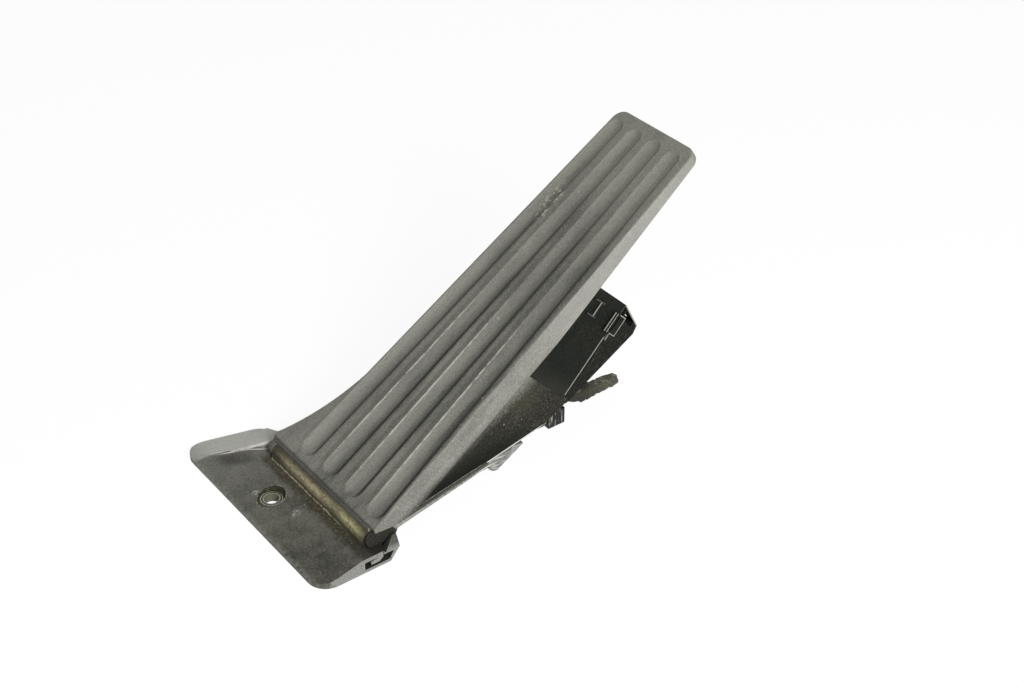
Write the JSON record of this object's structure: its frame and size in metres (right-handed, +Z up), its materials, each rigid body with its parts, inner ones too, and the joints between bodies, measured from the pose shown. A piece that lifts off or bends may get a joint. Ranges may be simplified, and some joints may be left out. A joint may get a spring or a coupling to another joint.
{
  "type": "accelerator pedal",
  "caption": "Floor-hinged accelerator pedal with a long grooved treadle, a bolting flange with hinge strip and a sprung position sensor box under the treadle.",
  "frame": {"origin": "axis of the floor bolt where it meets the floor, under the flange", "axes": "+Z up from the floor along the bolt, +Y from the heel to the toe of the treadle, +X to the pedal's right"},
  "size_m": [0.1159, 0.2059, 0.1318],
  "materials": {
    "base_plastic": "satin black moulding, dusty",
    "bush_steel": "turned, zinc plated",
    "hinge_plastic": "moulded, stained brown with dirt",
    "treadle_plastic": "matt moulding, scuffed and dusty",
    "cover_plastic": "satin black moulding",
    "contact_brass": "stamped",
    "clip_steel": "spring steel, dull",
    "foam": "open cell foam, dusty",
    "pin_steel": "ground",
    "lever_plastic": "glass filled moulding",
    "pad_plastic": "low friction, smooth",
    "bush_brass": "turned",
    "spring_steel": "drawn wire, oiled",
    "ferrite": "sintered",
    "board": "solder mask",
    "chip_plastic": "moulded package",
    "screw_steel": "zinc plated",
    "seal_rubber": "soft",
    "stop_rubber": "matt"
  },
  "bodies": {
    "base": {"base_frame": "base_plastic", "floor_bush": "bush_steel", "hinge_strip": "hinge_plastic", "housing_cover": "cover_plastic", "circuit_board": "board", "sensor_chips": "chip_plastic", "board_screws": "screw_steel", "connector_pins": "contact_brass", "cover_seal": "seal_rubber", "full_travel_stop": "stop_rubber", "lever_axle": "pin_steel", "axle_clip": "clip_steel", "spring_seat": "lever_plastic", "outer_spring": "spring_steel", "inner_spring": "spring_steel", "floor_clip": "clip_steel", "foam_strip": "foam"},
    "pedal": {"pedal_plate": "treadle_plastic", "hinge_pin": "pin_steel", "slide_pad": "pad_plastic"},
    "lever": {"rotor_lever": "lever_plastic", "lever_bushes": "bush_brass", "magnet": "ferrite", "spring_cup": "lever_plastic"}
  },
  "joints": [
    {"name": "pedal_hinge", "type": "hinge", "parent": "base", "child": "pedal", "pos_m": [0.024, 0.016, 0.0106], "axis": [-1, 0, 0], "range_deg": [0, 12], "stiffness_Nm_per_rad": 14, "springref_deg": -11.46},
    {"name": "lever_pivot", "type": "hinge", "parent": "base", "child": "lever", "pos_m": [0.015, 0.138, 0.036], "axis": [1, 0, 0], "range_deg": [0, 12.9], "deforming": ["outer_spring", "inner_spring"]}
  ],
  "couplings": [
    {"joint": "lever_pivot", "follows": "pedal_hinge", "ratio": 1.0667}
  ]
}
